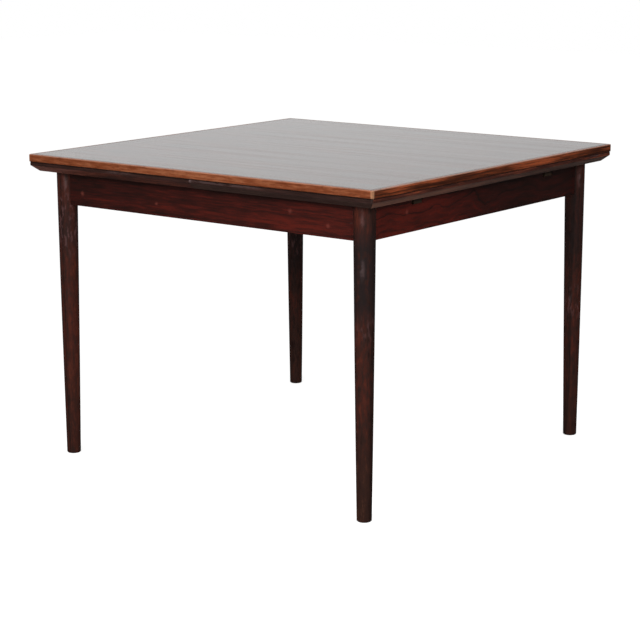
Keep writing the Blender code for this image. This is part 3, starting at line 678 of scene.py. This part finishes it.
def dress(name, material, arris=0.0):
    """Give a piece its finish and its edges."""
    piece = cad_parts[name]
    piece.material_slots[0].material = material
    add_group(piece, SMOOTHED)
    if arris:
        flat = piece.modifiers.new("flat_faces", "DECIMATE")
        flat.decimate_type = "DISSOLVE"
        flat.angle_limit = FLAT_ANGLE
        bevel = piece.modifiers.new("arris", "BEVEL")
        bevel.width = arris
        bevel.segments = ARRIS_SEGMENTS
        bevel.limit_method = "ANGLE"
        bevel.angle_limit = SMOOTH_ANGLE
        bevel.use_clamp_overlap = True
        add_group(piece, SMOOTHED)
    normals = piece.modifiers.new("flat_normals", "WEIGHTED_NORMAL")
    normals.keep_sharp = True
    normals.weight = LARGE_FACE_WEIGHT


# The table, dressed

STEEL = steel_finish()

# The top's solid edges
SIDE_EDGE = {
    "tones": SIDE_EDGE_TONES, "vein": 0.2, "groove_shade_share": 0.85, "pale": (0.0, 0.10),
    "band": 0.010, "waver": 0.012, "length": 8, "streak": 0.004, "streak_length": 8,
}
END_EDGE = {
    "tones": END_EDGE_TONES, "vein": 0.7, "groove_shade_share": 0.4, "pale": (0.02, 0.28),
    "band": 0.005, "waver": 0.006, "length": 20, "streak": 0.0032, "streak_length": 30,
}
EDGES = (
    ("front", ALONG_X, SIDE_EDGE),
    ("back", ALONG_X, SIDE_EDGE),
    ("left", ALONG_Y, END_EDGE),
    ("right", ALONG_Y, END_EDGE),
)

# Where the leaves' lippings are rubbed and given a painted reflection, and from where to where their
# bevels grow paler
RIGHT_SIDE_RUBBED_AND_SHEEN = (0.0, 0.20)
LEFT_SIDE_RUBBED_AND_SHEEN = (-0.24, -0.18)
LEAF_END_RUBBED = (0.40, 0.44)
LEAF_SIDE_PALER = (-0.20, -0.45)
# The end bevels' paling towards the front corner is painted light, falling off along them.
LEAF_END_PALER = (0.25, -0.45)

# The aprons, with their knocks as places and radii
SIDE_APRON = {
    "dark_end": -0.50, "red_end": 0.40, "lift": 0.12, "vein": 0.25,
    "band": 0.020, "waver": 0.02, "bold": 0.15, "streak": 0.0045,
    "knocked": (
        (-0.3757, -0.4437, 0.6414, 0.008),
        (-0.1408, -0.4437, 0.6392, 0.006),
        (0.2472, -0.4437, 0.6585, 0.008),
        (0.3498, -0.4437, 0.6362, 0.007),
    ),
}
END_APRON = {
    "dark_end": 0.12, "red_end": -0.24, "lift": 0.17, "vein": 0.80,
    "band": 0.007, "waver": 0.10, "length": 1.3, "bold": 0.42, "streak": 0.004,
    "knocked": ((0.4490, -0.2956, 0.6567, 0.008), (0.4490, -0.2086, 0.6392, 0.003)),
}

# The legs, with their smoky heights, the heights of their rubs and painted sheen, and their scrapes
# and painted highlights as places and radii
LEGS = {
    "front_left": {
        "warmth": 0.030, "smoke": (0.50, 0.60), "depth": 0.45, "rubbed_and_sheen": (0.50, 0.64), "foot": 0.25,
        "scraped_and_highlit": ((-0.423, -0.452, 0.665, 0.008), (-0.423, -0.452, 0.40, 0.005)),
    },
    "front_right": {
        "warmth": 0.020, "smoke": (0.45, 0.63), "depth": 0.90, "rubbed_and_sheen": (0.41, 0.44), "foot": 0.80,
        "scraped_and_highlit": ((0.448, -0.455, 0.555, 0.009), (0.448, -0.455, 0.66, 0.007)),
    },
    "back_left": {
        "warmth": -0.03, "smoke": (0.32, 0.70), "depth": 0.60, "rubbed_and_sheen": (0.36, 0.44), "foot": 0.40,
        "scraped_and_highlit": ((-0.430, 0.410, 0.50, 0.005),),
    },
    "back_right": {
        "warmth": 0.0, "smoke": (0.45, 0.62), "depth": 0.50, "rubbed_and_sheen": (0.31, 0.38), "foot": 0.50,
        "scraped_and_highlit": ((0.456, 0.421, 0.655, 0.010), (0.446, 0.410, 0.36, 0.007)),
    },
}


def dress_beech(name, grain, log, arris=0.0, stained_from=None):
    dress(name, beech_finish(name + "_beech", grain, log, stained_from), arris)


def dress_top():
    dress("top_field", veneer_finish())
    for number, (side, grain, look) in enumerate(EDGES):
        name = "top_lipping_" + side
        log = (0.7 * number, 1.3, 0.4)
        dress(name, top_lipping_finish(name + "_rosewood", grain, log, **look))
    for number, side in enumerate(("front", "back")):
        dress_beech("top_peg_" + side, ALONG_Z, (0.2 * number, 0.4, 0.1))


def dress_leaf(side, shift, side_tones, end_tones, side_rubbed_and_sheen):
    """Dress a leaf; the shift sets its boards' places in the log apart from the other's."""
    leaf = "leaf_" + side
    for number, word in enumerate(("panel", "lipping_inner")):
        name = "{}_{}".format(leaf, word)
        dress(name, panel_finish(name + "_rosewood", (shift + number, 0.0, 0.3)))
    lippings = (
        ("front", ALONG_X, *side_tones, side_rubbed_and_sheen, LEAF_SIDE_PALER),
        ("back", ALONG_X, *side_tones, side_rubbed_and_sheen, LEAF_SIDE_PALER),
        ("end", ALONG_Y, *end_tones, LEAF_END_RUBBED, LEAF_END_PALER),
    )
    for number, (word, grain, *look) in enumerate(lippings):
        name = "{}_lipping_{}".format(leaf, word)
        log = (shift + 0.9 * number, 1.5, 0.3 * number)
        dress(name, leaf_lipping_finish(name + "_rosewood", grain, log, *look))
    stained_from = RUNNER_HIGH.x - RUNNER_STAIN_LENGTH
    for number, word in enumerate(("front", "back")):
        name = "{}_runner_{}".format(leaf, word)
        dress_beech(name, ALONG_X, (shift, number, 0.2), RUNNER_ARRIS_WIDTH, stained_from)
        dress_beech("{}_stop_{}".format(leaf, word), ALONG_Z, (shift, number, 0.6))
        for screw in range(1, SCREWS_IN_RUNNER + 1):
            dress("{}_screw_{}_{}".format(leaf, word, screw), STEEL)


def dress_aprons():
    for number, side in enumerate(("front", "back")):
        name = "side_apron_" + side
        log = (2.1 + number, 0.7, 0.9)
        dress(name, apron_finish(name + "_rosewood", ALONG_X, log, **SIDE_APRON), ARRIS_WIDTH)
    for number, side in enumerate(("left", "right")):
        name = "end_apron_" + side
        log = (0.4, 3.1 + number, 1.7)
        dress(name, apron_finish(name + "_rosewood", ALONG_Y, log, **END_APRON), ARRIS_WIDTH)


def dress_legs():
    for number, (corner, look) in enumerate(LEGS.items()):
        name = "leg_" + corner
        log = (0.31 * number, 0.47 * number, 1.9)
        dress(name, leg_finish(name + "_rosewood", log, **look))
        dress_beech("corner_block_" + corner, ALONG_Z, log, ARRIS_WIDTH)


def dress_rails():
    for number, side in enumerate(("left", "right")):
        dress_beech("guide_rail_" + side, ALONG_Y, (0.3 * number, 0.9, 0.5), ARRIS_WIDTH)
    dress("centre_bearer", beech_finish("bearer_beech", ALONG_Y, (0.8, 0.1, 0.7)), ARRIS_WIDTH)


RIGHT_SIDE_TONES = (NOSE_TONES, GREY_BROWN_TONES)
RIGHT_END_TONES = (RED_NOSE_TONES, TAN_TONES)
LEFT_TONES = (NOSE_TONES, RED_BROWN_TONES)

dress_top()
dress_leaf("right", 0.0, RIGHT_SIDE_TONES, RIGHT_END_TONES, RIGHT_SIDE_RUBBED_AND_SHEEN)
dress_leaf("left", 5.0, LEFT_TONES, LEFT_TONES, LEFT_SIDE_RUBBED_AND_SHEEN)
dress_aprons()
dress_legs()
dress_rails()


# Camera

CAMERA_PLACE = (2.7289, -3.5363, 1.2809)
CAMERA_YAW = 0.6602
CAMERA_PITCH = 0.2139
CAMERA_ROLL = -0.0028
CAMERA_LENS = 105.24
CAMERA_SENSOR = 36.0
CAMERA_NEAREST = 0.05
CAMERA_FARTHEST = 60.0


def add_camera():
    camera = bpy.data.cameras.new("camera")
    camera.lens = CAMERA_LENS
    camera.sensor_width = CAMERA_SENSOR
    camera.clip_start = CAMERA_NEAREST
    camera.clip_end = CAMERA_FARTHEST
    camera_object = bpy.data.objects.new("camera", camera)
    bpy.context.scene.collection.objects.link(camera_object)
    turn = (
        Matrix.Rotation(CAMERA_YAW, 4, "Z")
        @ Matrix.Rotation(math.pi / 2 - CAMERA_PITCH, 4, "X")
        @ Matrix.Rotation(CAMERA_ROLL, 4, "Z")
    )
    camera_object.matrix_world = Matrix.Translation(CAMERA_PLACE) @ turn
    bpy.context.scene.camera = camera_object


# Floor, world and lamps

FLOOR_SIZE = 24.0
FLOOR_PALE = (0.80, 0.80, 0.80)
FLOOR_PALER = (0.82, 0.82, 0.82)
FLOOR_WHITE = 0.73
AMBIENT = 0.34
BACKDROP = 0.905
UNDER_TABLE = 0.07
ROOM_BEHIND_CAMERA = 0.03

# Where the mirrored world changes, by the direction looked in: how far it points away from
# the camera, how far up, and how far to the camera's right
BACKDROP_AWAY = (0.45, 0.80)
BACKDROP_UP = (-0.03, 0.04)
BACKDROP_RIGHT = (-0.02, 0.20)
BACKDROP_RIGHT_DIMMED = 0.10
UNDER_TABLE_UP = (-0.40, -0.55)

# Each lamp's name, place, aim, size and power
LAMPS = (
    ("left_softbox", (0.6, -3.6, 1.9), (0, 0, 0.5), 1.2, 58.0),
    ("right_softbox", (3.0, -1.6, 2.0), (0.4, -0.3, 0.5), 1.0, 36.0),
)


def add_floor():
    """A plain pale floor, which the camera sees as white with the table's faint shadow."""
    mesh = bpy.data.meshes.new("floor")
    half = FLOOR_SIZE / 2
    corners = [(-half, -half, 0), (half, -half, 0), (half, half, 0), (-half, half, 0)]
    mesh.from_pydata(corners, [], [(0, 1, 2, 3)])
    floor = bpy.data.objects.new("floor", mesh)
    bpy.context.scene.collection.objects.link(floor)

    def paint(nodes):
        grit = nodes.noise(table_place(nodes), size=0.3, detail=2.0)
        shade = nodes.mix(grit, FLOOR_PALE, FLOOR_PALER)
        paper = nodes.add("ShaderNodeBsdfDiffuse", {}, {"Color": shade})
        seen = nodes.add("ShaderNodeLightPath", {}, {}).others()["Is Camera Ray"]
        white = nodes.add("ShaderNodeEmission", {}, {"Strength": seen * FLOOR_WHITE})
        return nodes.add("ShaderNodeAddShader", {}, {0: paper, 1: white})

    mesh.materials.append(finish("floor_paper", paint))
    floor.visible_glossy = False


def add_world():
    """A white backdrop behind the table, and a dimmer room behind the camera."""
    world = bpy.data.worlds.new("studio")
    bpy.context.scene.world = world
    world.use_nodes = True
    nodes = Nodes(world.node_tree)
    direction = nodes.add("ShaderNodeTexCoord", {}, {}).others()["Generated"]
    away = (-math.sin(CAMERA_YAW), math.cos(CAMERA_YAW), 0)
    right = (math.cos(CAMERA_YAW), math.sin(CAMERA_YAW), 0)
    facing = nodes.vector("DOT_PRODUCT", direction, away)
    aside = nodes.vector("DOT_PRODUCT", direction, right)
    height = split(nodes, direction)[ALONG_Z]
    backdrop = nodes.rise(facing, *BACKDROP_AWAY) * nodes.rise(height, *BACKDROP_UP)
    backdrop = backdrop * (1 - nodes.rise(aside, *BACKDROP_RIGHT) * BACKDROP_RIGHT_DIMMED)
    below = nodes.rise(height, *UNDER_TABLE_UP)
    mirrored = backdrop * (BACKDROP - ROOM_BEHIND_CAMERA) + below * UNDER_TABLE
    mirrored = mirrored + ROOM_BEHIND_CAMERA
    path = nodes.add("ShaderNodeLightPath", {}, {}).others()
    seen = nodes.maths("MAXIMUM", path["Is Camera Ray"], path["Is Transmission Ray"])
    glossy = path["Is Glossy Ray"]
    strength = glossy * mirrored + (1 - glossy) * AMBIENT
    strength = seen + (1 - seen) * strength
    sockets = {"Color": (1, 1, 1), "Strength": strength}
    background = nodes.add("ShaderNodeBackground", {}, sockets)
    nodes.add("ShaderNodeOutputWorld", {}, {"Surface": background})


def add_lamp(name, place, aim, size, power):
    lamp = bpy.data.lights.new(name, "AREA")
    lamp.shape = "SQUARE"
    lamp.size = size
    lamp.energy = power
    lamp_object = bpy.data.objects.new(name, lamp)
    bpy.context.scene.collection.objects.link(lamp_object)
    lamp_object.location = place
    lamp_object.rotation_euler = (Vector(aim) - Vector(place)).to_track_quat("-Z", "Y").to_euler()


add_camera()
add_floor()
add_world()
for lamp in LAMPS:
    add_lamp(*lamp)

scene = bpy.context.scene
scene.view_settings.view_transform = "Standard"
